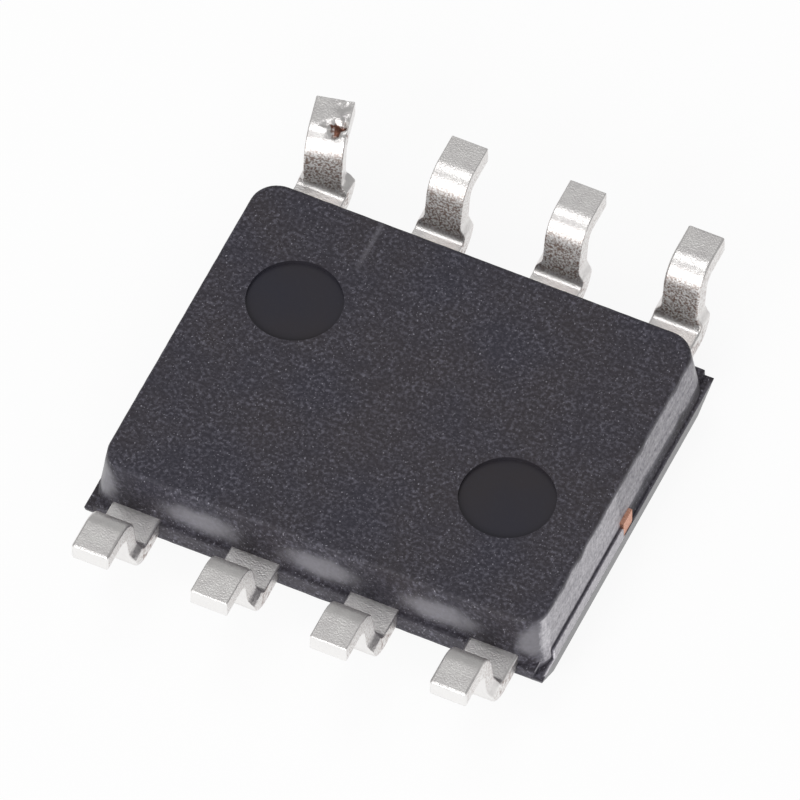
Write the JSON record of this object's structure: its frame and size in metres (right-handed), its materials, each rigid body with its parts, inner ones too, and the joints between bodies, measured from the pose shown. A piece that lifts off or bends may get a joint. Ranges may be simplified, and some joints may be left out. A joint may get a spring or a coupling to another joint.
{
  "type": "small-outline integrated circuit",
  "caption": "Surface-mount chip in a moulded black epoxy package with gull-wing tinned leads, lying upside down with one lead knocked askew.",
  "frame": {"origin": "middle of the package, on the plane of its marked top, which is what the chip lies on in this pose", "axes": "+Z from the marked top to the underside, so the soles of the leads face +Z; +X along the rows of leads, from lead 4 to lead 1; +Y across the package, towards leads 5 to 8"},
  "size_m": [0.005, 0.006, 0.0014],
  "materials": {
    "moulding": "black silica-filled epoxy, spark-eroded mould texture",
    "lead": "matt tin plate on copper alloy",
    "paddle": "bare stamped copper alloy",
    "attach": "silver-filled epoxy",
    "silicon": "polished silicon",
    "gold_wire": "drawn gold wire"
  },
  "bodies": {
    "root": {"body": "moulding", "lead_1": "lead", "lead_2": "lead", "lead_3": "lead", "lead_4": "lead", "lead_5": "lead", "lead_6": "lead", "lead_7": "lead", "lead_8": "lead", "die_paddle": "paddle", "die_attach": "attach", "die": "silicon", "wire_1": "gold_wire", "wire_2": "gold_wire", "wire_3": "gold_wire", "wire_4": "gold_wire", "wire_5": "gold_wire", "wire_6": "gold_wire", "wire_7": "gold_wire", "wire_8": "gold_wire"}
  },
  "joints": []
}
